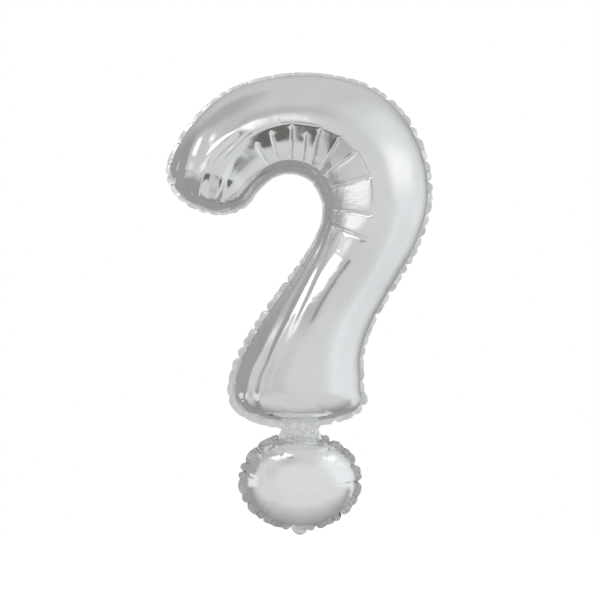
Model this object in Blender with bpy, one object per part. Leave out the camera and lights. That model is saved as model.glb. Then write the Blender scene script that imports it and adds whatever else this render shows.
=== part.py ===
"""Foil question-mark balloon of the 34-inch class, as it stands when it is blown up.

Metres, +Z up, the front towards -Y and +X to the right of someone who looks at the front.
The two film sheets are welded together in the plane Y = 0. The origin is the middle of the
balloon's own box: it lies in that plane, in the gas of the stem, above the neck and the dot.
"""

import math

import bmesh
import bpy
from mathutils import Matrix, Vector

# Film, weld and fits
WALL = 0.010
WELD_THICK = 0.002
FIT_GAP = 0.0003
RIM_Y = WELD_THICK / 2 + FIT_GAP
BORDER_OUT = 0.010
BORDER_OUT_HOLLOW = 0.004
BORDER_IN = 0.005
SCALLOP_DEPTH = 0.0030
SCALLOP_PITCH = 0.021
POINTS_PER_SCALLOP = 4

# The hook's spine from the tip to the foot: x, z and half the width of the gas
HOOK_STATIONS = (
    (-0.1700, 0.1630, 0.0705),
    (-0.1620, 0.1810, 0.0710),
    (-0.1480, 0.2095, 0.0735),
    (-0.1245, 0.2450, 0.0770),
    (-0.0830, 0.2810, 0.0795),
    (-0.0285, 0.2975, 0.0800),
    (0.0270, 0.2945, 0.0850),
    (0.0790, 0.2735, 0.0925),
    (0.1125, 0.2330, 0.0925),
    (0.1260, 0.1803, 0.0895),
    (0.1180, 0.1250, 0.0815),
    (0.0939, 0.0713, 0.0750),
    (0.0671, 0.0260, 0.0750),
    (0.0403, -0.0193, 0.0800),
    (0.0185, -0.0646, 0.0895),
    (0.0050, -0.1065, 0.1010),
    (-0.0030, -0.1434, 0.1075),
    (-0.0030, -0.1985, 0.1080),
)
FOOT_Z = HOOK_STATIONS[-1][1]
TIP_ROUND = 0.050
FOOT_ROUND_LEFT = 0.038
FOOT_ROUND_RIGHT = 0.040
ROUND_POWER = 2.0
END_START = 0.05
DEPTH_SHARE = 0.95
DEPTH_MOST = 0.086
TIP_PINCH = 0.062
FOOT_PINCH = 0.088
HOOK_ROWS = 52
HOOK_COLUMNS = 12
END_CROWDING = 0.6

# The dot below it
DOT_CENTRE = Vector((0.0, 0.0, -0.2994))
DOT_HALF_WIDTH = 0.0950
DOT_HALF_HEIGHT = 0.0755
DOT_HALF_DEPTH = 0.0500
DOT_SEGMENTS = 36
DOT_RINGS = 7

# The neck between them, with the crease that it bends at
NECK_HALF_WIDTH = 0.040
NECK_HALF_DEPTH = 0.009
NECK_WEB = 0.0012
NECK_SWELL = 1.1
CREASE_Z = -0.2140
CREASE_GAP = 0.0008
CREASE_HALF_WIDTH = 0.036
CREASE_HALF_DEPTH = 0.004
NECK_SEGMENTS = 28

# The filler tail under the dot
TAIL_HALF_WIDTH = 0.0170
TAIL_SHEET = 0.0010
TAIL_ROUND_Z = -0.3800
TAIL_TIP_Z = -0.3900
TAIL_ARC_STEPS = 12
VALVE_FILM = 0.0006
VALVE_HALF_WIDTH = 0.0120
VALVE_UP = 0.0060

SMOOTH_ANGLE = 0.7
FOIL_COLOUR = (0.80, 0.81, 0.82, 1.0)
FOIL_ROUGHNESS = 0.12
BORDER_COLOUR = (0.70, 0.71, 0.72, 1.0)
BORDER_ROUGHNESS = 0.22
VALVE_COLOUR = (0.86, 0.88, 0.88, 1.0)
VALVE_ROUGHNESS = 0.35


def clear_scene():
    for obj in list(bpy.data.objects):
        bpy.data.objects.remove(obj, do_unlink=True)


def material(name, colour, roughness, metallic):
    made = bpy.data.materials.new(name)
    made.use_nodes = True
    shader = made.node_tree.nodes["Principled BSDF"]
    shader.inputs["Base Color"].default_value = colour
    shader.inputs["Roughness"].default_value = roughness
    shader.inputs["Metallic"].default_value = metallic
    return made


def add_object(name, bm, body, finish=None, place=None):
    """The bmesh as an object on that body, with its own origin at that place in the world."""
    bmesh.ops.recalc_face_normals(bm, faces=bm.faces)
    mesh = bpy.data.meshes.new(name)
    bm.to_mesh(mesh)
    bm.free()
    mesh.shade_smooth()
    mesh.set_sharp_from_angle(angle=SMOOTH_ANGLE)
    obj = bpy.data.objects.new(name, mesh)
    obj.location = (place or Vector()) - body.location
    obj.parent = body
    if finish:
        mesh.materials.append(finish)
    else:
        obj.hide_render = True
        obj.display_type = "WIRE"
    bpy.context.scene.collection.objects.link(obj)
    return obj


def add_body(name, location):
    """An empty that carries a body's pieces; a moving body's lies on its joint's axis."""
    empty = bpy.data.objects.new(name, None)
    empty.location = location
    bpy.context.scene.collection.objects.link(empty)
    return empty


def join_rings(bm, first, second):
    """Faces between two closed rings of as many verts; returns them."""
    later = zip(first[1:] + first[:1], second[1:] + second[:1])
    return [bm.faces.new((a, b, d, c)) for a, c, (b, d) in zip(first, second, later)]


def rounding(distance, length):
    """Share of the full width at a distance from a rounded end, from 0 at the end to 1."""
    share = min(max(distance / length, 0.0), 1.0)
    return (1 - (1 - share) ** ROUND_POWER) ** (1 / ROUND_POWER)


def ramp(value, low, high):
    """0 below low, 1 above high, and smooth between them."""
    share = min(max((value - low) / (high - low), 0.0), 1.0)
    return share * share * (3 - 2 * share)


def through(points, steps):
    """A smooth curve through the points, with that many steps between each two."""
    first = [2 * a - b for a, b in zip(points[0], points[1])]
    last = [2 * a - b for a, b in zip(points[-1], points[-2])]
    ends = [first, *points, last]
    curve = []
    for a, b, c, d in zip(ends, ends[1:], ends[2:], ends[3:]):
        for step in range(steps):
            t = step / steps
            curve.append(
                [
                    0.5 * (2 * q + (r - p) * t + (2 * p - 5 * q + 4 * r - s) * t**2)
                    + 0.5 * (3 * q - p - 3 * r + s) * t**3
                    for p, q, r, s in zip(a, b, c, d)
                ]
            )
    return [*curve, list(points[-1])]


class Spine:
    """The hook's centre line, read by its length from the tip."""

    STEPS = 24

    def __init__(self, stations):
        self.points = [Vector(p) for p in through(stations, self.STEPS)]
        self.lengths = [0.0]
        for a, b in zip(self.points, self.points[1:]):
            self.lengths.append(self.lengths[-1] + (b.xy - a.xy).length)
        self.length = self.lengths[-1]

    def at(self, along):
        """(x and z, direction, half width) at that length from the tip."""
        along = min(max(along, 0.0), self.length)
        k = 1
        while self.lengths[k] < along and k < len(self.lengths) - 1:
            k += 1
        a, b = self.points[k - 1], self.points[k]
        share = (along - self.lengths[k - 1]) / (self.lengths[k] - self.lengths[k - 1])
        before = self.points[max(k - 2, 0)]
        after = self.points[min(k + 1, len(self.points) - 1)]
        point = a.lerp(b, share)
        direction = (b.xy - before.xy).lerp(after.xy - a.xy, share).normalized()
        return point.xy, direction, point.z


HOOK_SPINE = Spine(HOOK_STATIONS)


def hook_plan(across, along, inset=0.0):
    """(x and z, half depth) of the hook's gas: across from -1 to 1, along from 0 to 1."""
    ends = HOOK_SPINE.length - 2 * inset
    from_tip = along * ends
    centre, direction, half = HOOK_SPINE.at(inset + from_tip)
    side = Vector((direction.y, -direction.x))
    from_tip = from_tip + END_START * TIP_ROUND
    foot_round = FOOT_ROUND_LEFT if across > 0 else FOOT_ROUND_RIGHT
    from_foot = ends * (1 - along) + END_START * FOOT_ROUND_LEFT
    half_depth = DEPTH_SHARE * min(half, DEPTH_MOST) - inset
    half = half - inset
    half = half * rounding(from_tip, TIP_ROUND) * rounding(from_foot, foot_round)
    pinch_tip = min(along * ends / TIP_PINCH, 1.0)
    pinch_foot = min((1 - along) * ends / FOOT_PINCH, 1.0)
    fullness = math.sqrt(1 - (1 - pinch_tip) ** 2) * math.sqrt(1 - (1 - pinch_foot) ** 2)
    depth = half_depth * fullness * math.sqrt(max(1 - across * across, 0.0))
    return centre + side * half * across, depth


def row_share(row, rows):
    """Where a row lies from tip to foot, with the rows closer together near both ends."""
    share = row / rows
    return share - END_CROWDING * math.sin(2 * math.pi * share) / (2 * math.pi)


def hook_sheet(bm, facing, inset):
    """One face of a hook panel's shell, as a grid laid on the gas; returns its verts."""
    made = bmesh.ops.create_grid(
        bm, x_segments=HOOK_COLUMNS, y_segments=HOOK_ROWS, size=1.0
    )
    for vert in made["verts"]:
        across = math.sin(vert.co.x * math.pi / 2)
        along = row_share((vert.co.y + 1) / 2 * HOOK_ROWS, HOOK_ROWS)
        plan, depth = hook_plan(across, along, inset)
        vert.co = Vector((plan.x, facing * (RIM_Y + depth), plan.y))
    return made["verts"]


def dot_sheet(bm, facing, inset):
    """One face of a dot panel's shell, as half of an ellipsoid; returns its verts."""
    size = (DOT_HALF_WIDTH - inset, DOT_HALF_DEPTH - inset, DOT_HALF_HEIGHT - inset)
    rings = []
    for k in range(DOT_RINGS):
        rise = math.pi / 2 * k / DOT_RINGS
        made = bmesh.ops.create_circle(bm, segments=DOT_SEGMENTS, radius=math.cos(rise))
        for vert in made["verts"]:
            x, z = vert.co.xy
            vert.co = Vector((x, facing * math.sin(rise), z))
        rings.append(made["verts"])
    for lower, upper in zip(rings, rings[1:]):
        join_rings(bm, lower, upper)
    pole = bm.verts.new((0, facing, 0))
    for a, b in zip(rings[-1], rings[-1][1:] + rings[-1][:1]):
        bm.faces.new((a, b, pole))
    verts = [vert for ring in rings for vert in ring] + [pole]
    bmesh.ops.scale(bm, vec=size, verts=verts)
    bmesh.ops.translate(bm, vec=(0, facing * RIM_Y, 0), verts=verts)
    return verts


def panel(name, sheet, facing, body, finish, place=None):
    """A film panel: an outer and an inner face WALL apart, joined round their open edge."""
    bm = bmesh.new()
    outer = sheet(bm, facing, 0.0)
    open_edges = [edge for edge in bm.edges if edge.is_boundary]
    partner = dict(zip(outer, sheet(bm, facing, WALL)))
    for edge in open_edges:
        a, b = edge.verts
        bm.faces.new((a, b, partner[b], partner[a]))
    return add_object(name, bm, body, finish, place)


def hook_outline():
    """The hook's weld line in x and z, once round from the left of the foot."""
    steps = 300
    share = [row_share(k, steps) for k in range(steps + 1)]
    ends = [math.sin((k / 24 - 0.5) * math.pi) for k in range(1, 24)]
    left = [hook_plan(1, s)[0] for s in reversed(share)]
    tip = [hook_plan(-u, 0)[0] for u in ends]
    right = [hook_plan(-1, s)[0] for s in share]
    foot = [hook_plan(u, 1)[0] for u in ends]
    return left + tip + right + foot


def dot_outline():
    """The dot's weld line in x and z from its centre, once round from the top."""
    steps = 240
    turns = [2 * math.pi * k / steps for k in range(steps)]
    return [
        Vector((DOT_HALF_WIDTH * math.sin(t), DOT_HALF_HEIGHT * math.cos(t)))
        for t in turns
    ]


def evenly(outline, count):
    """The closed outline again as that many points, evenly spaced along it."""
    closed = [*outline, outline[0]]
    lengths = [0.0]
    for a, b in zip(closed, closed[1:]):
        lengths.append(lengths[-1] + (b - a).length)
    points = []
    k = 1
    for step in range(count):
        want = lengths[-1] * step / count
        while lengths[k] < want:
            k += 1
        share = (want - lengths[k - 1]) / max(lengths[k] - lengths[k - 1], 1e-9)
        points.append(closed[k - 1].lerp(closed[k], share))
    return points


def perimeter(outline):
    return sum((b - a).length for a, b in zip(outline, outline[1:] + outline[:1]))


def border_ring(bm, outline):
    """The welded border: a flat ring along the weld line, scalloped where that bulges out."""
    scallops = round(perimeter(outline) / SCALLOP_PITCH)
    count = scallops * POINTS_PER_SCALLOP
    step = perimeter(outline) / count
    line = evenly(outline, count)
    reach = 5
    rings = []
    for edge in (-1, 1):
        ring = []
        for k, point in enumerate(line):
            before = line[k - reach]
            after = line[(k + reach) % count]
            tangent = (line[(k + 1) % count] - line[k - 1]).normalized()
            outward = Vector((-tangent.y, tangent.x))
            turn = (point - before).angle_signed(after - point, 0.0)
            bulge = turn / (reach * step)
            width = BORDER_OUT_HOLLOW + (BORDER_OUT - BORDER_OUT_HOLLOW) * ramp(
                bulge, -9.0, -1.0
            )
            lobe = abs(math.sin(math.pi * k / POINTS_PER_SCALLOP))
            scallop = SCALLOP_DEPTH * ramp(bulge, -3.0, 3.0) * (lobe - 1)
            offset = width + scallop if edge > 0 else -BORDER_IN
            spot = point + outward * offset
            ring.append(bm.verts.new((spot.x, -WELD_THICK / 2, spot.y)))
        rings.append(ring)
    raised = bmesh.ops.extrude_face_region(bm, geom=join_rings(bm, *rings))
    lifted = [g for g in raised["geom"] if isinstance(g, bmesh.types.BMVert)]
    bmesh.ops.translate(bm, vec=(0, WELD_THICK, 0), verts=lifted)


def box_cutter(name, body, x_ends, z_ends):
    """A box that cuts the borders, between those x and z of the world."""
    bm = bmesh.new()
    bmesh.ops.create_cube(bm, size=1.0)
    size = (abs(x_ends[1] - x_ends[0]), 2 * WALL, abs(z_ends[1] - z_ends[0]))
    bmesh.ops.scale(bm, vec=size, verts=bm.verts)
    middle = Vector((sum(x_ends) / 2, 0, sum(z_ends) / 2))
    return add_object(name, bm, body, place=middle)


def cut(obj, cutter):
    made = obj.modifiers.new("cut", "BOOLEAN")
    made.operation = "DIFFERENCE"
    made.object = cutter


def hook_weld_border(body, finish):
    """The hook's border, left open at the neck so that the gas can pass."""
    bm = bmesh.new()
    border_ring(bm, hook_outline())
    border = add_object("hook_weld_border", bm, body, finish)
    half = NECK_HALF_WIDTH + FIT_GAP
    z_ends = (FOOT_Z - 2 * BORDER_OUT, FOOT_Z + 2 * BORDER_IN)
    cut(border, box_cutter("hook_border_neck_gap", body, (-half, half), z_ends))


def dot_weld_border(side, name, body, finish):
    """One half of the dot's border, from the neck above to the filler tail below."""
    bm = bmesh.new()
    border_ring(bm, dot_outline())
    border = add_object(f"dot_weld_border_{name}", bm, body, finish, DOT_CENTRE)
    far = 2 * DOT_HALF_WIDTH
    for end, half, up in (("neck", NECK_HALF_WIDTH, 1), ("tail", TAIL_HALF_WIDTH, -1)):
        x_ends = (-side * far, side * (half + FIT_GAP))
        z_ends = (DOT_CENTRE.z, DOT_CENTRE.z + up * far)
        cut(border, box_cutter(f"dot_border_{name}_{end}_gap", body, x_ends, z_ends))


def neck_sections(levels):
    """A closed bmesh of lens-shaped rings stacked in Z: (z, half width, half depth) each."""
    bm = bmesh.new()
    rings = []
    for z, half_width, half_depth in levels:
        made = bmesh.ops.create_circle(bm, segments=NECK_SEGMENTS, radius=1.0)
        web = min(NECK_WEB, half_depth)
        for vert in made["verts"]:
            x, y = vert.co.xy
            lens = web * min(abs(y) * 4, 1.0) + (half_depth - web) * abs(y) ** 1.6
            vert.co = Vector((x * half_width, math.copysign(lens, y), z))
        rings.append(made["verts"])
    for lower, upper in zip(rings, rings[1:]):
        join_rings(bm, lower, upper)
    bm.faces.new(rings[0])
    bm.faces.new(rings[-1])
    return bm


def crease_levels(direction):
    """Rings of the rounded edge at the crease, from it outwards, with z from the crease."""
    levels = []
    for share in (0.04, 0.25, 0.6, 1.0):
        depth = CREASE_HALF_DEPTH * math.sqrt(1 - (1 - share) ** 2)
        away = CREASE_GAP / 2 + CREASE_HALF_DEPTH * (share - 0.04)
        levels.append((direction * away, CREASE_HALF_WIDTH, depth))
    return levels


def neck_foil(name, direction, wide_levels, body, finish):
    """Half of the neck, from the crease out to the levels where it is at its widest."""
    crease = crease_levels(direction)
    middle = (crease[-1][0] + wide_levels[0]) / 2
    half_width = (CREASE_HALF_WIDTH + NECK_HALF_WIDTH) / 2
    half_depth = NECK_SWELL * (CREASE_HALF_DEPTH + NECK_HALF_DEPTH) / 2
    wide = [(z, NECK_HALF_WIDTH, NECK_HALF_DEPTH) for z in wide_levels]
    bm = neck_sections([*crease, (middle, half_width, half_depth), *wide])
    return add_object(name, bm, body, finish, Vector((0, 0, CREASE_Z)))


def neck_upper_foil(body, finish):
    top = FOOT_Z - 2 * FIT_GAP - CREASE_Z
    neck_foil("neck_upper_foil", 1, [top], body, finish)


def neck_lower_foil(body, finish):
    """The lower half of the neck, cut so that it sits on the dot."""
    fall = 1 - math.sqrt(1 - (NECK_HALF_WIDTH / DOT_HALF_WIDTH) ** 2)
    seat = DOT_CENTRE.z + DOT_HALF_HEIGHT - CREASE_Z
    bottom = seat - DOT_HALF_HEIGHT * fall - 2 * FIT_GAP
    neck = neck_foil("neck_lower_foil", -1, [seat, bottom], body, finish)
    bm = bmesh.new()
    bmesh.ops.create_uvsphere(bm, u_segments=64, v_segments=32, radius=1.0)
    room = 2 * FIT_GAP
    size = (
        DOT_HALF_WIDTH + room,
        DOT_HALF_DEPTH + RIM_Y + room,
        DOT_HALF_HEIGHT + room,
    )
    bmesh.ops.scale(bm, vec=size, verts=bm.verts)
    cut(neck, add_object("neck_dot_seat", bm, body, place=DOT_CENTRE))


def hanging_tongue(name, half_width, top, y_ends, body, finish):
    """A flat sheet that hangs under the dot and ends in a half ellipse at the tail's tip."""
    bm = bmesh.new()
    sides = [(half_width, top), (-half_width, top)]
    turns = [math.pi * (1 - k / TAIL_ARC_STEPS) for k in range(TAIL_ARC_STEPS + 1)]
    drop = TAIL_ROUND_Z - TAIL_TIP_Z
    arc = [(half_width * math.cos(a), TAIL_ROUND_Z - drop * math.sin(a)) for a in turns]
    seat_z = DOT_CENTRE.z - DOT_HALF_HEIGHT
    outline = [(x, z - seat_z) for x, z in sides + arc]
    face = bm.faces.new([bm.verts.new((x, y_ends[0], z)) for x, z in outline])
    made = bmesh.ops.extrude_face_region(bm, geom=[face])
    lifted = [g for g in made["geom"] if isinstance(g, bmesh.types.BMVert)]
    bmesh.ops.translate(bm, vec=(0, y_ends[1] - y_ends[0], 0), verts=lifted)
    return add_object(name, bm, body, finish, Vector((0, 0, seat_z)))


def filler_tail(body, foil, valve):
    """The unwelded mouth under the dot: two foil tongues with the valve's film between."""
    top = DOT_CENTRE.z - DOT_HALF_HEIGHT - FIT_GAP
    film = VALVE_FILM / 2
    inner = film + FIT_GAP
    outer = inner + TAIL_SHEET
    width = TAIL_HALF_WIDTH
    hanging_tongue("filler_tail_front", width, top, (-outer, -inner), body, foil)
    hanging_tongue("filler_tail_back", width, top, (inner, outer), body, foil)
    width = VALVE_HALF_WIDTH
    hanging_tongue("filler_valve_film", width, top + VALVE_UP, (-film, film), body, valve)


def main():
    clear_scene()
    foil = material("silver_foil", FOIL_COLOUR, FOIL_ROUGHNESS, 1.0)
    weld = material("welded_foil", BORDER_COLOUR, BORDER_ROUGHNESS, 1.0)
    valve = material("valve_film", VALVE_COLOUR, VALVE_ROUGHNESS, 0.0)
    hook = add_body("hook", Vector())
    dot = add_body("dot", Vector((0, 0, CREASE_Z)))
    bpy.context.view_layer.update()

    panel("hook_front_foil", hook_sheet, -1, hook, foil)
    panel("hook_back_foil", hook_sheet, 1, hook, foil)
    hook_weld_border(hook, weld)
    neck_upper_foil(hook, foil)

    neck_lower_foil(dot, foil)
    panel("dot_front_foil", dot_sheet, -1, dot, foil, DOT_CENTRE)
    panel("dot_back_foil", dot_sheet, 1, dot, foil, DOT_CENTRE)
    dot_weld_border(-1, "left", dot, weld)
    dot_weld_border(1, "right", dot, weld)
    filler_tail(dot, foil, valve)


main()
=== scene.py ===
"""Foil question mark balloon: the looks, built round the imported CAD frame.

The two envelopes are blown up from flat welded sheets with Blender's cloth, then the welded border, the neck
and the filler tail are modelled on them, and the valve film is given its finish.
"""
import math

import bmesh
import bpy
import numpy as np
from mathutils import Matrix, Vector, noise
from mathutils.kdtree import KDTree


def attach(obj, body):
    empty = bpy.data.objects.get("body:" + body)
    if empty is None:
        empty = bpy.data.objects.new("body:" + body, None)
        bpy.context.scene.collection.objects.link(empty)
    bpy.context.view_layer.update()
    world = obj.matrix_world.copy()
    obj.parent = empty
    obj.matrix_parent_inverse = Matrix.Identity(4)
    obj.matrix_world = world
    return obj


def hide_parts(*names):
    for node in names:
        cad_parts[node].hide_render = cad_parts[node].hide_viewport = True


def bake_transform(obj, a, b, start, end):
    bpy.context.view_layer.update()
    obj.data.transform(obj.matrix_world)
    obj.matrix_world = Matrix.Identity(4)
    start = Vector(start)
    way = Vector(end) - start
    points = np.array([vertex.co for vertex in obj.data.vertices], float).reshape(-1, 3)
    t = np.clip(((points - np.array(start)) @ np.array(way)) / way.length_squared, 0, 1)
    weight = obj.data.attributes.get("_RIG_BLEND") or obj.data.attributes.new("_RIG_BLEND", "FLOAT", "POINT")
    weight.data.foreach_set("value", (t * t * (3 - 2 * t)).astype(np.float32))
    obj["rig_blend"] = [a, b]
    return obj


bl_info = {
    "name": "Foil question mark balloon",
    "version": (1, 0, 0),
    "blender": (4, 5, 0),
    "location": "View3D > Sidebar > Balloon",
    "description": "Blows up a foil question mark from flat sheets and dresses it",
    "category": "Object",
}

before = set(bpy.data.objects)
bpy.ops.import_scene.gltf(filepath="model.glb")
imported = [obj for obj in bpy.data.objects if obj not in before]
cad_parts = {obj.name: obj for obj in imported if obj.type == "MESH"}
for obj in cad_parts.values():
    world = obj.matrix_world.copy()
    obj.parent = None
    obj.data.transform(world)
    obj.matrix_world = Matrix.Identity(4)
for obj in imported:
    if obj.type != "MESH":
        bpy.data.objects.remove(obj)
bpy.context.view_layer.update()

# In this file along is the share of the hook's length from its tip, and across is -1 at the
# seam on the crook's inside and 1 at the seam on its outside.

# x, z and half width of the tube's middle line, from the tip over the crown to the foot
HOOK_STATIONS = (
    (-0.1700, 0.1630, 0.0705), (-0.1620, 0.1810, 0.0710), (-0.1480, 0.2095, 0.0735),
    (-0.1245, 0.2450, 0.0770), (-0.0830, 0.2810, 0.0795), (-0.0285, 0.2975, 0.0800),
    (0.0270, 0.2945, 0.0850), (0.0790, 0.2735, 0.0925), (0.1125, 0.2330, 0.0925),
    (0.1260, 0.1803, 0.0895), (0.1180, 0.1250, 0.0815), (0.0939, 0.0713, 0.0750),
    (0.0671, 0.0260, 0.0750), (0.0403, -0.0193, 0.0800), (0.0185, -0.0646, 0.0895),
    (0.0050, -0.1065, 0.1010), (-0.0030, -0.1434, 0.1075), (-0.0030, -0.1985, 0.1080),
)
CURVE_STEPS = 60
# the blown tube's depth, and how long its ends take to reach full width and full depth;
# the foot's first length is for the seam outside, the second for the one inside
DEPTH_SHARE = 0.95
DEPTH_MOST = 0.086
TIP_ROUND = 0.050
FOOT_ROUND = (0.036, 0.050)
TIP_PINCH = 0.070
FOOT_PINCH = 0.066
END_CUT = 0.05
TURN_WINDOW = 0.05
DEPTH_WINDOW = 0.10

# the flat sheets, before any gas
END_WIDTH_RATIO = 1.25
CURL_LOSS = 1.38
BEND_STRETCH = 0.138
FIRST_BEND = 0.94
SECOND_BEND = 0.4
FLAT_TIP_ROUND = 0.080
FLAT_FOOT_ROUND = (0.018, 0.030)
FLAT_END_CUT = 0.06

# the cloth
HOOK_ROWS = 240
HOOK_COLUMNS = 26
DOT_CELLS = 40
COARSE_FRAMES = 20
FINE_FRAMES = 8
SHEET_GAP = 0.0003
SWELL = 1.04
BULGE = 0.004
BULGE_REACH = 0.05
LENGTHEN = 1.03
PRESSURE = 2000.0
DRAG = 4.0
STIFF = 1000.0
ROUGHNESS_WAVES = ((60.0, 0.0003), (220.0, 0.0003))
FINE_WAVES = ((180.0, 0.00012), (420.0, 0.00008))
AT_SEAM = 0.999
FIT_WINDOW = 0.060
FIT_DEPTH = (0.75, 1.25)
FIT_WIDTH = (0.6, 1.6)
FIT_DOT_SHARE = 0.12
DOT_CENTRE = Vector((0.0, 0.0, -0.2994))
DOT_HALF = Vector((0.0950, 0.0500, 0.0755))
DOT_FLAT = (0.1240, 0.1010)
PROFILE_STEPS = 400
PROFILE_DEPTH = 0.6

# the crook's radial creases: along, then first and last place across
CROOK_CREASES = (
    (0.185, -0.20, -0.60), (0.223, -0.13, -0.60), (0.267, -0.08, -0.62), (0.301, -0.18, -0.60),
    (0.330, -0.08, -0.62), (0.374, -0.08, -0.63), (0.420, -0.08, -0.65), (0.479, -0.06, -0.70),
    (0.556, -0.03, -0.80), (0.605, 0.00, -0.75),
)
CREASE_WIDTH = 0.004
CREASE_DEPTH = 0.004
CREASE_SHIFT_BACK = 0.004
CREASE_WANDER = 0.0022
CROOK_SHARP = (0.0021, 0.0013)
CROOK_ROUND = (0.0011, 0.0110)
PUCKER_PITCH = 0.020
PUCKER_REACH = 0.030
PUCKER_WINDOW = 0.03

# how much of the gas's folds stays, along the tube: on the crook's inside, and all over
KEEP_FOLDS_IN = ((0, 0.25), (0.1, 0.15), (0.18, 0.03), (0.60, 0.03), (0.66, 0.03), (0.9, 0.04),
                 (0.95, 0.35))
KEEP_FOLDS_OUT = ((0.06, 0.25), (0.14, 0.05), (0.3, 0.03), (0.9, 0.03), (0.96, 0.25))
KEEP_DOT_FOLDS = 0.17
KEEP_ROWS = 21
CALM_ROWS = 61
CALM_COLUMNS = 11
SLOW_KEEP = 0.35
RIM_KEEP = 0.15
# the crook's ridge: where it runs across, and how sharply the film breaks there along the tube
RIDGE_AT = 0.13
RIDGE = ((0, 0), (0.03, 0.08), (0.12, 0.24), (0.30, 0.28), (0.5, 0.28), (0.56, 0.20), (0.62, 0.05),
         (0.66, 0))
# the fine gathers inside the ridge: how strong along, and from which share across inwards
GATHER_ZONE = ((0, 0.0), (0.06, 0.1), (0.12, 0.5), (0.2, 0.9), (0.3, 1), (0.6, 1), (0.66, 0.2),
               (0.72, 0))
GATHER_START = ((0.16, 0.46), (0.24, 0.36), (0.34, 0.26), (1, 0.22))
GATHER_FINE = 0.00022
GATHER_WIDE = 0.0003
GATHER_BUMP = 0.8
# long folds, most of them on the stem's left: their way (along, across), height and width
STEM_FOLDS = (
    (((0.12, -0.66), (0.20, -0.64), (0.45, -0.66), (0.58, -0.70), (0.66, -0.62), (0.74, -0.50),
      (0.82, -0.42), (0.90, -0.41), (0.985, -0.50)), 0.0013, 0.060),
    (((0.60, -0.82), (0.68, -0.74), (0.78, -0.64), (0.88, -0.58), (0.985, -0.68)), 0.0012, 0.050),
    (((0.68, -0.44), (0.76, -0.33), (0.84, -0.27), (0.95, -0.32)), 0.0007, 0.060),
    (((0.002, -0.16), (0.04, -0.02), (0.09, 0.06), (0.19, 0.02)), 0.0019, 0.095),
    (((0.002, -0.46), (0.03, -0.34), (0.08, -0.24), (0.14, -0.20)), 0.0018, 0.070),
    (((0.002, 0.12), (0.04, 0.28), (0.09, 0.38), (0.14, 0.46)), 0.0015, 0.100),
    (((0.004, 0.46), (0.04, 0.56), (0.10, 0.60)), 0.0012, 0.080),
    (((0.010, 0.74), (0.05, 0.78), (0.12, 0.76)), 0.0009, 0.060),
)
# short creases over the film: along, first and last place across, slant, depth, roundness
SHORT_CREASES = (
    (0.022, 0.98, 0.62, 0.006, 0.0012, 0.006), (0.050, 0.98, 0.66, 0.008, 0.0010, 0.006),
    (0.082, 0.98, 0.70, 0.010, 0.0010, 0.006), (0.020, -0.60, -0.98, -0.006, 0.0010, 0.006),
    (0.800, 0.66, 0.40, 0.006, 0.0005, 0.004), (0.822, 0.70, 0.38, 0.008, 0.0006, 0.004),
    (0.845, 0.66, 0.36, 0.010, 0.0006, 0.004), (0.868, 0.68, 0.42, 0.012, 0.0005, 0.004),
)
SHORT_SHARP = 0.0014
FOOT_CREASES = (
    (((0.93, 0.00), (0.96, 0.20), (0.995, 0.42)), 0.0012),
    (((0.94, 0.12), (0.97, 0.30), (0.995, 0.55)), 0.0010),
    (((0.95, -0.30), (0.97, -0.15), (0.995, 0.02)), 0.0010),
)
FOOT_SHARP = 0.0022
FILM_ROWS = 1000
FILM_COLUMNS = 88

# the welded edge outside and inside the crook: its width and how deep its lobes are, along
EDGE_WIDTHS = (
    ((0, 0.007), (0.2, 0.0055), (0.34, 0.0055), (0.42, 0.0075), (0.62, 0.0075), (0.7, 0.0055),
     (0.92, 0.006), (0.96, 0.009)),
    ((0, 0.0065), (0.06, 0.0050), (0.13, 0.0030), (0.62, 0.0030), (0.75, 0.0065), (0.88, 0.009),
     (0.97, 0.0115)),
)
EDGE_LOBES = (
    ((0, 0.6), (0.16, 0.5), (0.22, 0.15), (0.33, 0.15), (0.38, 1), (0.7, 1), (0.8, 0.5), (1, 1)),
    ((0, 0.6), (0.05, 0.4), (0.11, 0.05), (0.66, 0.1), (0.74, 1), (0.92, 1), (0.97, 0.2)),
)
DOT_EDGE_WIDTHS = (((0, 0.009),),) * 2
DOT_EDGE_LOBES = (((0, 1.0),),) * 2
HOOK_LOBE_PITCH = 0.019
DOT_LOBE_PITCH = 0.0175
# how unevenly the lobes follow each other: the strength and number of the swings
LOBE_DRIFT = ((0.55, 5), (0.4, 13))
LOBE_WINDOW = 0.02
SEAM_CALM = 0.02
# how deep and how far in the creases at the weld are pressed
HOOK_PRESS = (0.0028, 0.010)
DOT_PRESS = (0.0032, 0.014)
SEAM_DRAW = 0.0014
SEAM_SWAY = 0.0009
EDGE_STEPS = (0.25, 0.6, 0.88, 1.0)
EDGE_RUFFLE = 0.0016
LOBE_NOTCH = 0.20
EDGE_THICK = 0.0004

NECK_TOP = -0.1900
NECK_FOOT = -0.2360
NECK_PROUD = 0.0018
NECK_WIDTHS = ((0, 0.040), (0.25, 0.038), (0.5, 0.031), (0.75, 0.036), (1, 0.042))
NECK_SWELL = 0.009
NECK_PLEAT = 0.0060
NECK_CRUMPLE = 0.0022
NECK_WANDER = 0.0012
NECK_SINK = 0.0012
NECK_BEND = (-0.2075, -0.2205)

TAIL_TOP = -0.3640
TAIL_TIP = -0.3900
TAIL_HALF = 0.0170
TAIL_GAP = 0.0011
TAIL_SWELL = 0.0022
TAIL_WAVE = 0.0011
TAIL_PLEAT = 0.0012

WELD_TINTS = ((0.93, 0.935, 0.94, 1), (0.66, 0.665, 0.67, 1))
VALVE_TINTS = ((0.90, 0.92, 0.93, 1), (0.74, 0.77, 0.79, 1))
FILM_ROUGHNESS = (0.03, 0.09)
NECK_ROUGHNESS = (0.05, 0.12)
FILM_GRAIN = 900.0
NECK_GRAIN = 500.0

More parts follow.
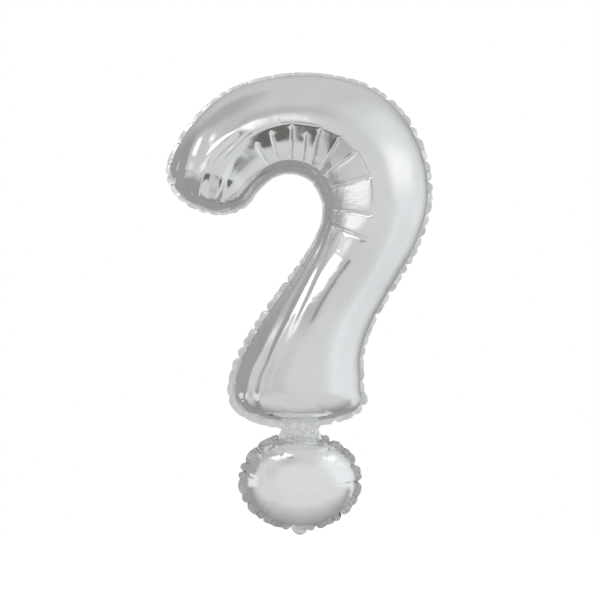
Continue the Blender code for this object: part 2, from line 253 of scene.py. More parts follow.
FLOOR_RADIUS = 1.6
FLOOR_GLOW = 0.55
FLOOR_MOTTLE = 0.97
CAMERA_AT = (0.0, -2.376, 0.004)
CAMERA_LENS = 85.0
ROOM_LEVELS = (0.38, 0.36)
# soft patches of light and dark round the balloon: (to the right, up) and half size in
# degrees as seen from it facing the camera, how soft their edges are, and their strength
ROOM_PATCHES = (
    ((0, 90), (400, 60), 0.4, 0.66), ((68, -4), (58, 50), 0.5, 0.89),
    ((-68, 50), (30, 20), 0.6, 0.50), ((-104, 4), (28, 34), 0.4, 0.40),
    ((-50, 8), (26, 28), 0.5, 0.70), ((2, -8), (38, 26), 0.5, 0.73),
    ((2, -46), (48, 15), 0.28, 0.17), ((84, -40), (30, 24), 0.5, 0.85),
    ((0, -90), (400, 22), 0.3, 0.30),
)
# boards that only the foil sees: corners from near left round, strength near and far, and
# how much of the width and of the depth their soft edges take
BOARDS = (
    ("low board", ((-0.75, -0.70, -0.42), (0.75, -0.70, -0.42), (0.75, 0.14, -0.42),
                   (-0.75, 0.14, -0.42)), 0.72, 0.26, (0.30, 0.18)),
    ("high board", ((-0.94, -0.68, 0.54), (-0.02, -0.68, 0.26), (-0.06, -0.68, 0.50),
                    (-1.02, -0.68, 0.96)), 1.8, 1.8, (0.24, 0.28)),
    ("left board", ((-0.54, -0.26, 0.10), (-0.25, -0.62, 0.10), (-0.25, -0.62, 0.34),
                    (-0.54, -0.26, 0.34)), 1.06, 1.06, (0.35, 0.40)),
    ("right board", ((0.46, -0.82, 0.10), (1.00, 0.04, 0.10), (1.00, 0.04, 0.70),
                     (0.46, -0.82, 0.70)), 1.10, 1.10, (0.40, 0.46)),
    ("tip board", ((-0.44, -0.38, -0.34), (-0.12, -0.50, -0.34), (-0.12, -0.50, 0.03),
                   (-0.44, -0.38, 0.03)), 0.64, 0.64, (0.35, 0.25)),
    ("dark card", ((-0.16, -0.66, 0.13), (-0.03, -0.66, 0.13), (-0.03, -0.66, 0.28),
                   (-0.16, -0.66, 0.28)), 0.30, 0.30, (0.45, 0.45)),
    ("dot board", ((-0.50, 0.20, -0.46), (-0.50, -0.34, -0.46), (-0.50, -0.34, -0.22),
                   (-0.50, 0.20, -0.22)), 0.85, 0.85, (0.30, 0.25)),
)
BOARD_RAMP = (0.60, 0.95)
# soft lights: name, place, size and power; all look at LIGHT_AIM
SOFT_LIGHTS = (
    ("left box", (-2.4, -2.4, 1.8), (1.6, 1.6), 30.0),
    ("right box", (2.6, -2.0, 1.0), (1.6, 2.0), 40.0),
)
LIGHT_AIM = (0, 0, 0.1)


def finer(grid, count):
    """More rows by a smooth curve through those that are there."""
    n = len(grid) - 1
    t = np.linspace(0, n, count + 1)
    i = np.clip(t.astype(int), 0, n - 1)
    t = (t - i).reshape(-1, 1, 1)
    far = np.concatenate([2 * grid[:1] - grid[1:2], grid, 2 * grid[-1:] - grid[-2:-1]])
    p, q, r, w = far[i], far[i + 1], far[i + 2], far[i + 3]
    return 0.5 * (2 * q + (r - p) * t + (2 * p - 5 * q + 4 * r - w) * t**2
                  + (3 * q - p - 3 * r + w) * t**3)


def summed(steps):
    """The sums up to each place, from 0."""
    return np.concatenate([[0], np.cumsum(steps)])


def soften(values, window):
    """A running mean with soft shoulders; the ends are held."""
    window = max(3, window // 2 * 2 + 1)
    weight = np.hanning(window + 2)[1:-1]
    weight /= weight.sum()
    padded = np.pad(values, window // 2, mode="edge")
    return np.convolve(padded, weight, mode="valid")


def soften_loop(values, window):
    """The same for a closed loop."""
    n = len(values)
    return soften(np.concatenate([values, values, values]), window)[n:2 * n]


def soften_rows(grid, window, smooth=soften, axis=0):
    """The same for each column of a grid by itself."""
    return np.apply_along_axis(smooth, axis, grid, window)


def lookup(place, table):
    """Reads a table of (place, value) pairs."""
    return np.interp(place, *zip(*table))


def along_table(rows, table):
    """A table's values for every row, softened."""
    return soften(lookup(np.linspace(0, 1, rows), table), int(rows * TURN_WINDOW))


def rounding(distance, length, cut=0.0):
    """0 at an end of the tube, 1 further in than length, a quarter of an ellipse between.

    The very end is cut off: cut is its share of the length.
    """
    t = np.clip(distance / length + cut, 0, 1)
    return np.sqrt(1 - (1 - t) ** 2)


def fade(values, low, high):
    """0 below low and 1 above high, smooth between."""
    t = np.clip((values - low) / (high - low), 0, 1)
    return t * t * (3 - 2 * t)


def speckle(first, second, seed):
    """Smooth noise at each pair of coordinates."""
    first, second = np.broadcast_arrays(first, second)
    flat = [noise.noise(Vector((a, b, seed))) for a, b in zip(first.ravel(), second.ravel())]
    return np.array(flat).reshape(first.shape)


class HookPlan:
    """Rows across the tube: where each lies when blown up, and in the flat sheet."""

    def __init__(self, rows):
        knots = np.array(HOOK_STATIONS)[:, None]
        curve = finer(knots, (len(knots) - 1) * CURVE_STEPS)[:, 0]
        run = summed(np.linalg.norm(np.diff(curve[:, :2], axis=0), axis=1))
        total = run[-1]
        s = np.linspace(0, total, rows + 1)
        x, z, half = (np.interp(s, run, curve[:, k]) for k in range(3))
        angle = np.unwrap(np.arctan2(np.gradient(z, s), np.gradient(x, s)))
        angle = soften(angle, int(rows * TURN_WINDOW))
        bend = np.gradient(angle, s)
        self.rows = rows
        self.total = total
        self.centre = np.stack([x, z], 1)
        self.side = np.stack([-np.sin(angle), np.cos(angle)], 1)
        foot = total - s
        wide = half * rounding(s, TIP_ROUND, END_CUT)
        self.left, self.right = (wide * rounding(foot, reach, END_CUT) for reach in FOOT_ROUND)
        full = rounding(s, TIP_PINCH) * rounding(foot, FOOT_PINCH)
        window = int(rows * DEPTH_WINDOW)
        thick = soften(soften(np.minimum(half, DEPTH_MOST), window), window)
        self.depth = DEPTH_SHARE * thick * full
        self.free_depth = half * full
        ratio = END_WIDTH_RATIO + (math.pi / 2 - END_WIDTH_RATIO) * full**1.5
        wide = half * rounding(s, FLAT_TIP_ROUND, FLAT_END_CUT) * ratio
        self.flat_left, self.flat_right = (wide * rounding(foot, reach, FLAT_END_CUT)
                                           for reach in FLAT_FOOT_ROUND)
        step = total / rows
        ridge = np.hypot(step, np.diff(self.free_depth))
        stretch = 1 + BEND_STRETCH * np.where(bend > 0, SECOND_BEND * bend, -bend) * half
        length = ridge * (stretch[1:] + stretch[:-1]) / 2
        turn = np.where(bend > 0, SECOND_BEND, 1.0) * bend * step / CURL_LOSS
        self.flat_centre, self.flat_side = self.walk(angle[0], turn, length)
        free = np.where(bend > 0, SECOND_BEND, FIRST_BEND) * bend * step
        self.free_centre, self.free_side = self.walk(
            angle[0], free, np.full(rows, step * LENGTHEN))

    def walk(self, heading, turn, length):
        """The middle line that these turns and steps give, and the way across at each row."""
        heading = heading + summed((turn[1:] + turn[:-1]) / 2)
        middle = (heading[1:] + heading[:-1]) / 2
        moves = np.stack([np.cos(middle), np.sin(middle)], 1) * length[:, None]
        line = np.concatenate([[[0, 0]], np.cumsum(moves, axis=0)]) + self.centre[0]
        return line, np.stack([-np.sin(heading), np.cos(heading)], 1)

    def flat(self, row, across):
        reach = self.flat_left[row] if across > 0 else self.flat_right[row]
        return self.flat_centre[row] + self.flat_side[row] * across * reach

    def blown(self, row, across, side, edge):
        """The start shape: as blown, but not yet drawn to the photographed curve."""
        reach = self.left[row] if across > 0 else self.right[row]
        turn = across * math.pi / 2
        x, z = self.free_centre[row] + self.free_side[row] * math.sin(turn) * reach * SWELL
        depth = self.free_depth[row] * math.cos(turn) * SWELL
        return x, 0.0 if edge else side * max(depth, SHEET_GAP), z


def new_skin():
    """A bmesh with the layers that every envelope carries."""
    bm = bmesh.new()
    bm.verts.layers.float_vector.new("flat")
    for name in ("along", "across", "run", "far", "gather"):
        bm.verts.layers.float.new(name)
    bm.faces.layers.int.new("back")
    return bm


def floats(bm, *names):
    """The skin's float layers of these names."""
    return [bm.verts.layers.float[name] for name in names]


def hook_envelope(plan, columns, spot_at):
    """The hook's two sheets as grids, welded along their rims; spot_at places each vertex."""
    bm = new_skin()
    flat = bm.verts.layers.float_vector["flat"]
    along, across = floats(bm, "along", "across")
    marks = bm.faces.layers.int["back"]
    rim = []
    for side in (-1, 1):
        made = bmesh.ops.create_grid(bm, x_segments=columns, y_segments=plan.rows, size=1.0)
        for v in made["verts"]:
            row, column = round((v.co.y + 1) / 2 * plan.rows), round(v.co.x * columns / 2)
            share = column / (columns / 2)
            edge = row in (0, plan.rows) or abs(column) * 2 == columns
            sheet = plan.flat(row, share)
            v[along], v[across] = row / plan.rows, share
            v.co = spot_at(row, share, side, edge)
            v[flat] = (sheet[0], 0.0 if edge else side * SHEET_GAP, sheet[1])
            if edge:
                rim.append(v)
        for f in {f for v in made["verts"] for f in v.link_faces}:
            f[marks] = int(side > 0)
    bmesh.ops.remove_doubles(bm, verts=rim, dist=1e-6)
    bmesh.ops.recalc_face_normals(bm, faces=bm.faces[:])
    if bm.calc_volume(signed=True) < 0:
        bmesh.ops.reverse_faces(bm, faces=bm.faces[:])
    return bm


def roughen(bm, waves, seed):
    """A hair of seeded unevenness, so that the film can choose where it folds."""
    # noise_vector takes its offsets from this seed, and from the clock without it
    noise.seed_set(seed)
    shift = Vector((seed * 1.7, seed * -2.3, seed * 0.9))
    for v in bm.verts:
        here = v.co.copy()
        for scale, reach in waves:
            v.co += noise.noise_vector((here + shift) * scale) * reach


def inflate(bm, frames):
    """Runs the cloth with gas in it and writes the result back to the bmesh."""
    bm.verts.ensure_lookup_table()
    bm.verts.index_update()
    layer = bm.verts.layers.float_vector["flat"]
    flat = np.array([v[layer][:] for v in bm.verts], np.float32)
    mesh = bpy.data.meshes.new("film")
    bm.to_mesh(mesh)
    film = bpy.data.objects.new("film", mesh)
    scene = bpy.context.scene
    scene.collection.objects.link(film)
    film.shape_key_add(name="blown", from_mix=False)
    rest = film.shape_key_add(name="flat", from_mix=False)
    rest.data.foreach_set("co", flat.ravel())
    # Cloth takes its rest shape from the key only with a modifier before it
    before = film.modifiers.new("before", "EDGE_SPLIT")
    before.use_edge_angle = before.use_edge_sharp = False
    cloth = film.modifiers.new("gas", "CLOTH")
    made = cloth.settings
    made.quality = 5
    made.mass = 0.002
    made.air_damping = DRAG
    made.tension_stiffness = made.compression_stiffness = STIFF
    made.shear_stiffness = STIFF / 4
    made.bending_stiffness = 1e-6
    made.bending_model = "ANGULAR"
    made.use_pressure = True
    made.uniform_pressure_force = PRESSURE
    made.effector_weights.gravity = 0
    made.rest_shape_key = rest
    cloth.collision_settings.use_collision = False
    cloth.collision_settings.use_self_collision = False
    scene.frame_start = cloth.point_cache.frame_start = 1
    scene.frame_end = cloth.point_cache.frame_end = frames + 1
    for number in range(1, frames + 1):
        scene.frame_set(number)
    evaluated = film.evaluated_get(bpy.context.evaluated_depsgraph_get())
    result = evaluated.to_mesh()
    spots = np.empty(len(result.vertices) * 3, np.float32)
    result.vertices.foreach_get("co", spots)
    evaluated.to_mesh_clear()
    for v, spot in zip(bm.verts, spots.reshape(-1, 3)):
        v.co = spot.tolist()
    bpy.data.objects.remove(film)
    bpy.data.meshes.remove(mesh)
    scene.frame_set(1)


def refine(bm):
    """Splits every face of the skin in four; the flat spots are split with them."""
    bmesh.ops.subdivide_edges(bm, edges=bm.edges[:], cuts=1, use_grid_fill=True)


def seam_loop(bm):
    """The vertices between the front sheet and the back one, clockwise from the front."""
    marks = bm.faces.layers.int["back"]
    beside = {}
    for e in bm.edges:
        if len({f[marks] for f in e.link_faces}) == 2:
            a, b = e.verts
            beside.setdefault(a, []).append(b)
            beside.setdefault(b, []).append(a)
    first = max(beside, key=lambda v: v.co.z)
    loop = [first]
    here, last = first, None
    while True:
        ahead = next(v for v in beside[here] if v is not last)
        if ahead is first:
            break
        loop.append(ahead)
        here, last = ahead, here
    area = sum(a.co.x * b.co.z - b.co.x * a.co.z for a, b in zip(loop, loop[1:] + loop[:1]))
    return loop if area < 0 else loop[::-1]


def seam_tree(bm, loop):
    """Finds the place on the seam that is nearest to a flat spot."""
    flat = bm.verts.layers.float_vector["flat"]
    tree = KDTree(len(loop))
    for k, v in enumerate(loop):
        tree.insert(v[flat], k)
    tree.balance()
    return tree


def loop_steps(spots):
    """The distance from each spot of a closed loop to the next."""
    return np.linalg.norm(np.roll(spots, -1, axis=0) - spots, axis=1)


def crease(bm, plan):
    """Starts the long folds of the crook."""
    along, across = floats(bm, "along", "across")
    for v in bm.verts:
        row = min(plan.rows, round(v[along] * plan.rows))
        here, c = v[along] * plan.total, v[across]
        for place, start, end in CROOK_CREASES:
            near = math.exp(-((here - place * plan.total) / CREASE_WIDTH) ** 2)
            if near > 0.01 and end < c < start:
                share = math.sin(math.pi * (c - end) / (start - end))
                hub = Vector((plan.free_centre[row][0], 0, plan.free_centre[row][1]))
                v.co += (hub - v.co).normalized() * CREASE_DEPTH * near * share


def pucker(bm):
    """Folds the welded seam to and fro where the flat sheet is longer than the blown edge."""
    flat = bm.verts.layers.float_vector["flat"]
    loop = seam_loop(bm)
    cut = loop_steps(np.array([v[flat][:] for v in loop]))
    edge = loop_steps(np.array([v.co[:] for v in loop]))
    window = int(len(loop) * PUCKER_WINDOW)
    ratio = soften_loop(cut, window) / soften_loop(edge, window)
    run = np.cumsum(cut) / PUCKER_PITCH * 2 * math.pi
    run *= round(run[-1] / 2 / math.pi) * 2 * math.pi / run[-1]
    wave = PUCKER_PITCH / ratio / math.pi * np.sqrt(np.clip(ratio - 1, 0, 0.5)) * np.sin(run)
    tree = seam_tree(bm, loop)
    for v in bm.verts:
        _, k, far = tree.find(v[flat])
        if far < PUCKER_REACH:
            v.co.y += wave[k] * (1 - far / PUCKER_REACH) ** 2


def fit_hook(bm, plan):
    """Turns and draws each row of the blown hook back to its place in the photographed outline.

    The folds stay as the gas left them: only slow changes along the tube are taken out.
    """
    along, across = (np.array([v[layer] for v in bm.verts])
                     for layer in floats(bm, "along", "across"))
    spots = np.array([v.co[:] for v in bm.verts])
    rows = plan.rows
    numbers = np.round(along * rows).astype(int)
    left, right = np.zeros((2, rows + 1, 2))
    for side, rim in ((left, across > AT_SEAM), (right, across < -AT_SEAM)):
        side[numbers[rim]] = spots[rim, ::2]
    deep = np.zeros(rows + 1)
    np.maximum.at(deep, numbers, np.abs(spots[:, 1]))
    want_left = plan.centre + plan.side * plan.left[:, None]
    want_right = plan.centre - plan.side * plan.right[:, None]
    span, want_span = left - right, want_left - want_right
    middle, want_middle = (left + right) / 2, (want_left + want_right) / 2
    window = int(FIT_WINDOW * rows / plan.total)
    turn = np.unwrap(np.arctan2(want_span[:, 1], want_span[:, 0])) - np.unwrap(
        np.arctan2(span[:, 1], span[:, 0]))
    turn = soften(turn - 2 * math.pi * np.round(np.median(turn) / 2 / math.pi), window)
    wide = np.linalg.norm(want_span, axis=1) / np.maximum(np.linalg.norm(span, axis=1), 1e-4)
    wide = soften(np.clip(wide, *FIT_WIDTH), window)
    thick = soften(np.clip(plan.depth / np.maximum(deep, 1e-4), *FIT_DEPTH), window)
    hub = soften_rows(middle, window)

    def turned(p, angle):
        cos, sin = np.cos(angle), np.sin(angle)
        return np.stack([p[:, 0] * cos - p[:, 1] * sin, p[:, 0] * sin + p[:, 1] * cos], 1)

    shift = soften_rows(want_middle - hub - turned(middle - hub, turn), window)
    slow = soften_rows(span, window)
    axis = (slow / np.linalg.norm(slow, axis=1)[:, None])[numbers]
    p = spots[:, ::2] - hub[numbers]
    p += axis * ((p * axis).sum(1) * (wide[numbers] - 1))[:, None]
    p = hub[numbers] + shift[numbers] + turned(p, turn[numbers])
    for v, (x, z), y in zip(bm.verts, p.tolist(), (spots[:, 1] * thick[numbers]).tolist()):
        v.co = (x, y, z)


def hook_skin():
    """The hook's closed envelope, blown up and drawn back to the photographed outline."""
    plan = HookPlan(HOOK_ROWS)
    bm = hook_envelope(plan, HOOK_COLUMNS, plan.blown)
    crease(bm, plan)
    pucker(bm)
    roughen(bm, ROUGHNESS_WAVES, 1)
    inflate(bm, COARSE_FRAMES)
    refine(bm)
    roughen(bm, FINE_WAVES, 2)
    inflate(bm, FINE_FRAMES)
    fit_hook(bm, HookPlan(HOOK_ROWS * 2))
    return bm


def dot_skin():
    """The dot's closed envelope: a ball with even faces, pressed flat to its cut shape.

    Here along is the share of the way from the middle to the seam, and across the angle.
    """
    bm = new_skin()
    flat = bm.verts.layers.float_vector["flat"]
    along, across = floats(bm, "along", "across")
    marks = bm.faces.layers.int["back"]
    bmesh.ops.create_cube(bm, size=2.0)
    bmesh.ops.subdivide_edges(bm, edges=bm.edges[:], cuts=DOT_CELLS - 1, use_grid_fill=True)
    for v in bm.verts:
        # even steps of angle, so that the faces near the cube's corners aren't squeezed
        even = Vector([math.tan(c * math.pi / 4) for c in v.co]).normalized()
        rim = abs(even.y) < 1e-5
        far = 1.0 if rim else math.acos(min(1.0, abs(even.y))) / (math.pi / 2)
        way = math.atan2(even.x, even.z)
        v[along], v[across] = far, way
        v[flat] = (DOT_CENTRE.x + DOT_FLAT[0] * far * math.sin(way),
                   0.0 if rim else math.copysign(SHEET_GAP, even.y),
                   DOT_CENTRE.z + DOT_FLAT[1] * far * math.cos(way))
        v.co = DOT_CENTRE + even * DOT_HALF * SWELL
    for f in bm.faces:
        f[marks] = int(f.calc_center_median().y > 0)
    bmesh.ops.recalc_face_normals(bm, faces=bm.faces[:])
    tree = seam_tree(bm, seam_loop(bm))
    for v in bm.verts:
        v.co = v[flat]
        if abs(v.co.y) > 0:
            far = tree.find(v[flat])[2]
            v.co.y = math.copysign(BULGE * math.sqrt(min(1.0, far / BULGE_REACH)), v.co.y)
    roughen(bm, ROUGHNESS_WAVES, 5)
    inflate(bm, COARSE_FRAMES)
    refine(bm)
    for v in bm.verts:
        x = (v[flat].x - DOT_CENTRE.x) / DOT_FLAT[0]
        z = (v[flat].z - DOT_CENTRE.z) / DOT_FLAT[1]
        v[along], v[across] = min(1.0, math.hypot(x, z)), math.atan2(x, z)
    roughen(bm, FINE_WAVES, 6)
    fit_dot(bm)
    return bm


def fit_dot(bm):
    """Draws the blown dot back to its photographed outline, folds and all."""
    along, across = floats(bm, "along", "across")
    loop = seam_loop(bm)
    at = np.array([[v.co.x, v.co.z] for v in loop])
    way = np.array([v[across] for v in loop])
    want = np.stack([DOT_CENTRE.x + DOT_HALF.x * np.sin(way),
                     DOT_CENTRE.z + DOT_HALF.z * np.cos(way)], 1)
    pull = soften_rows(want - at, int(len(loop) * FIT_DOT_SHARE), soften_loop)
    order = np.argsort(way)
    deep = max(abs(v.co.y) for v in bm.verts)
    for v in bm.verts:
        share = math.sin(v[along] * math.pi / 2)
        for k in (0, 1):
            move = float(np.interp(v[across], way[order], pull[order, k], period=2 * math.pi))
            v.co[2 * k] += move * share
        v.co.y *= DOT_HALF.y / deep


class Seam:
    """The welded seam of a blown skin: its order, its outward way and its lobes.

    Widths and lobes are each a pair of tables, for the outside and the inside.
    """

    def __init__(self, bm, pitch, widths, lobes):
        self.loop = seam_loop(bm)
        count = len(self.loop)
        spots = np.array([[v.co.x, v.co.z] for v in self.loop])
        cut = loop_steps(spots)
        self.run = summed(cut[:-1])
        total = cut.sum()
        calm = soften_rows(spots, max(5, int(count * SEAM_CALM / total)), soften_loop)
        ahead = np.roll(calm, -3, axis=0) - np.roll(calm, 3, axis=0)
        ahead /= np.linalg.norm(ahead, axis=1)[:, None]
        self.out = np.stack([-ahead[:, 1], ahead[:, 0]], 1)
        turns = round(total / pitch)
        drift = sum(reach * np.sin(self.run * 2 * math.pi / total * swings)
                    for reach, swings in LOBE_DRIFT)
        phase = self.run * 2 * math.pi / total * turns + drift * 2
        at, across = (np.array([v[layer] for v in self.loop])
                      for layer in floats(bm, "along", "across"))
        self.width, self.lobes = (
            soften_loop(np.where(across > 0, lookup(at, outer), lookup(at, inner)),
                        int(count * LOBE_WINDOW))
            for outer, inner in (widths, lobes))
        self.tree = seam_tree(bm, self.loop)
        # 1 in the crease between two lobes, 0 on a lobe
        self.fold = 1 - np.abs(np.sin(phase / 2)) ** 0.6
        self.parity = np.where((phase / 2 / math.pi).astype(int) % 2, 1, -1)
        # how strong this one crease is, from 0.2 to 1.6
        number = (phase / 2 / math.pi + 0.5).astype(int)
        self.uneven = 0.9 + 0.7 * np.sin(number * 2.4 + 1.1 * np.sin(number * 0.9))
        self.power = self.lobes * self.fold * self.uneven


def press_creases(bm, seam, depth, reach):
    """Presses the short creases that run in from the weld, and draws the seam in at each."""
    flat = bm.verts.layers.float_vector["flat"]
    run, far_layer = floats(bm, "run", "far")
    bm.normal_update()
    moves = []
    for v in bm.verts:
        _, k, far = seam.tree.find(v[flat])
        v[run], v[far_layer] = seam.run[k], far
        power = seam.power[k]
        near = math.exp(-far / (reach * (0.6 + 0.5 * seam.uneven[k])))
        if near * power > 0.01:
            moves.append((v, v.normal * (-depth * power * near)))
    for v, move in moves:
        v.co += move
    for k, v in enumerate(seam.loop):
        power = seam.power[k]
        v.co.x -= seam.out[k][0] * SEAM_DRAW * power
        v.co.z -= seam.out[k][1] * SEAM_DRAW * power
        v.co.y += SEAM_SWAY * power * seam.parity[k]


def finished(bm, name, levels=0):
    """An object at the origin with smooth faces."""
    if name in bpy.data.objects:
        bpy.data.objects.remove(bpy.data.objects[name])
    mesh = bpy.data.meshes.new(name)
    bm.to_mesh(mesh)
    bm.free()
    mesh.shade_smooth()
    piece = bpy.data.objects.new(name, mesh)
    bpy.context.scene.collection.objects.link(piece)
    if levels:
        smooth = piece.modifiers.new("smooth", "SUBSURF")
        smooth.levels = smooth.render_levels = levels
    return piece


def sheet_of(bm, back, name, levels):
    """One of the skin's two sheets as an object of its own."""
    part = bm.copy()
    marks = part.faces.layers.int["back"]
    others = [f for f in part.faces if bool(f[marks]) != back]
    bmesh.ops.delete(part, geom=others, context="FACES")
    return finished(part, name, levels)


def welded_edge(bm, seam, name):
    """The flat double film outside the seam, lobed where the seam is gathered."""
    part = bm.copy()
    part.verts.ensure_lookup_table()
    old = part.faces[:]
    ring = [part.verts[v.index] for v in seam.loop]
    base = [v.co.copy() for v in ring]
    for share in EDGE_STEPS:
        edges = [part.edges.get((a, b)) for a, b in zip(ring, ring[1:] + ring[:1])]
        made = bmesh.ops.extrude_edge_only(part, edges=edges)
        grown = {g for g in made["geom"] if isinstance(g, bmesh.types.BMVert)}
        ring = [next(e.other_vert(v) for e in v.link_edges if e.other_vert(v) in grown)
                for v in ring]
        for k, v in enumerate(ring):
            reach = seam.width[k] * (1 - LOBE_NOTCH * seam.power[k]) * share
            wave = noise.noise(Vector((seam.run[k] * 90, share, 3.1)))
            swing = seam.lobes[k] * seam.parity[k] * (0.4 + 0.6 * (1 - seam.fold[k]))
            v.co = base[k] + Vector((
                seam.out[k][0] * reach,
                EDGE_RUFFLE * share * (swing + 0.5 * wave) - base[k].y * 0.4 * share,
                seam.out[k][1] * reach))
    bmesh.ops.delete(part, geom=old, context="FACES")
    piece = finished(part, name)
    wall = piece.modifiers.new("film", "SOLIDIFY")
    wall.thickness, wall.offset = EDGE_THICK, 0.0
    smooth = piece.modifiers.new("smooth", "SUBSURF")
    smooth.levels = smooth.render_levels = 1
    return piece


def envelope_pieces(bm, kind, levels, pitch, widths, lobes, press):
    """Creases a blown skin at its weld and parts it into two films and a welded edge."""
    bm.verts.ensure_lookup_table()
    bm.verts.index_update()
    seam = Seam(bm, pitch, widths, lobes)
    press_creases(bm, seam, *press)
    pieces = (sheet_of(bm, False, kind + "_front_film", levels),
              sheet_of(bm, True, kind + "_back_film", levels),
              welded_edge(bm, seam, kind + "_welded_edge"))
    bm.free()
    return pieces


def spots_of(bm, rows, columns):
    """The two sheets of the hook as arrays of spots, row by row."""
    along, across = floats(bm, "along", "across")
    marks = bm.faces.layers.int["back"]
    spots = np.zeros((2, rows + 1, columns + 1, 3))
    for v in bm.verts:
        i, j = round(v[along] * rows), round((v[across] + 1) / 2 * columns)
        for back in {f[marks] for f in v.link_faces}:
            spots[back, i, j] = v.co[:]
    return spots


def calmed(spots, plan):
    """Takes back the gas's folds where the real film is smooth, and breaks the crook's ridge."""
    rows, columns = plan.rows, spots.shape[2] - 1
    share = np.linspace(-1, 1, columns + 1)
    turn = share * math.pi / 2
    reach = np.where(turn > 0, plan.left[:, None], plan.right[:, None])
    flat = plan.centre[:, None] + plan.side[:, None] * (np.sin(turn) * reach)[:, :, None]
    deep = plan.depth[:, None] * np.cos(turn)
    inner = along_table(rows + 1, KEEP_FOLDS_IN)[:, None] * fade(-share, 0.02, 0.10)
    keep = np.maximum(inner, along_table(rows + 1, KEEP_FOLDS_OUT)[:, None])
    keep = soften_rows(keep, KEEP_ROWS)
    rows_in = np.linspace(0, 1, rows + 1)[:, None] * plan.total
    inside = fade(1 - np.abs(share), 0.0, 0.16)[None, :] * fade(
        np.minimum(rows_in, plan.total - rows_in), 0.0, 0.02)
    keep *= inside
    slow_keep = RIM_KEEP + (SLOW_KEEP - RIM_KEEP) * inside
    down = np.clip((-np.sin(turn) - RIDGE_AT) / (1 - RIDGE_AT), 0, 1)
    drop = along_table(rows + 1, RIDGE)[:, None] * down * (1 - down) ** 1.5 * plan.depth[:, None]
    result = np.zeros_like(spots)
    for back, side in ((0, -1), (1, 1)):
        ideal = np.stack([flat[:, :, 0], side * deep, flat[:, :, 1]], 2)
        off = spots[back] - ideal
        slow = soften_rows(soften_rows(off, CALM_ROWS), CALM_COLUMNS, axis=1)
        result[back] = ideal + slow_keep[:, :, None] * slow + keep[:, :, None] * (off - slow)
        result[back, :, :, 1] -= side * drop
    middle = result.mean(0)
    for rim in (np.s_[0, :], np.s_[-1, :], np.s_[:, 0], np.s_[:, -1]):
        result[0][rim] = result[1][rim] = middle[rim]
    return result


def outward(spots, back):
    """The outward normals of a sheet's spots."""
    n = np.cross(np.gradient(spots, axis=1), np.gradient(spots, axis=0))
    n /= np.maximum(np.linalg.norm(n, axis=2), 1e-9)[:, :, None]
    side = 1 if back else -1
    return n * np.where(n[:, :, 1:2].mean() * side > 0, 1, -1)


def run_at(row, run):
    """How far along the film each column is at its row."""
    numbers = np.arange(len(run))
    return np.array([np.interp(r, numbers, column)
                     for r, column in zip(np.broadcast_to(row, run.shape[1]), run.T)])


def folded(spots):
    """Presses the crook's radial creases, the stem's long folds and the foot's gathers."""
    rows, columns = spots.shape[1] - 1, spots.shape[2] - 1
    share = np.linspace(-1, 1, columns + 1)[None, :]
    along = np.linspace(0, 1, rows + 1)[:, None]
    result = spots.copy()
    for back, here in enumerate(spots):
        step = np.linalg.norm(np.diff(here, axis=0), axis=2)
        run = np.concatenate([np.zeros((1, columns + 1)), np.cumsum(step, axis=0)])
        dent = np.zeros((rows + 1, columns + 1))
        for number, (place, start, end) in enumerate(CROOK_CREASES):
            shift = CREASE_SHIFT_BACK * back * math.sin(number * 2.3)
            wander = np.array([CREASE_WANDER * noise.noise(Vector((c * 2.4, number * 5.1, back)))
                               for c in share[0]])
            far = np.abs(run - (run_at((place + shift) * rows, run) + wander)[None, :])
            reach = fade(-share, -start - 0.02, -start + 0.07) * (
                1 - fade(-share, -end - 0.10, -end + 0.08))
            power = 0.75 + 0.5 * abs(math.sin(number * 1.9 + 0.6))
            dent += reach * power * (CROOK_SHARP[0] * np.exp(-far / CROOK_SHARP[1])
                                     + CROOK_ROUND[0] * np.exp(-far / CROOK_ROUND[1]))
        zone = along_table(rows + 1, GATHER_ZONE)[:, None]
        first = lookup(along, GATHER_START)
        band = fade(-share - first, 0, 0.16) * (1 - fade(-share, 0.58, 0.70))
        fine = speckle(run * 230, share * 3.0, 4.0 + back) * GATHER_FINE
        wide = speckle(run * 90, share * 1.6, 9.0 + back) * GATHER_WIDE
        patch = fade(speckle(run * 22, share * 2.2, 2.0 + back), -0.3, 0.3)
        dent += zone * band * (fine * (0.35 + 0.65 * patch) + wide)
        for place, start, end, slant, depth, round_off in SHORT_CREASES:
            row = (place + slant * (share[0] - end) / (start - end)) * rows
            far = np.abs(run - run_at(row, run)[None, :])
            reach = fade(share, end, end + 0.2) * (1 - fade(share, start - 0.2, start))
            dent += reach * depth * (0.5 * np.exp(-far / SHORT_SHARP)
                                     + 0.9 * np.exp(-far / round_off))
        lively = 1 + 0.7 * speckle(run * 14, share * 2.0, 6.0 + back)
        for line, height, width in STEM_FOLDS:
            first, last = line[0][0], line[-1][0]
            live = fade(along, first, first + (0.07 if first > 0.1 else 0.045)) * (
                1 - fade(along, last - (0.04 if last > 0.9 else 0.06), last))
            off = (share - lookup(along, line)) / width
            dent -= live * lively * height * off * np.exp(-off * off) * 2.3
        for line, depth in FOOT_CREASES:
            first, last = line[0][0], line[-1][0]
            live = fade(along, first, first + 0.03) * (1 - fade(along, last - 0.01, last))
            off = np.abs(share - lookup(along, line))
            dent += live * depth * np.exp(-off * 0.16 / FOOT_SHARP)
        hold = np.minimum(1, 8 * np.minimum(np.minimum(along, 1 - along) * 4, 1 - np.abs(share)))
        dent *= np.maximum(hold, 0)
        result[back] = here - outward(here, back) * dent[:, :, None]
    return result


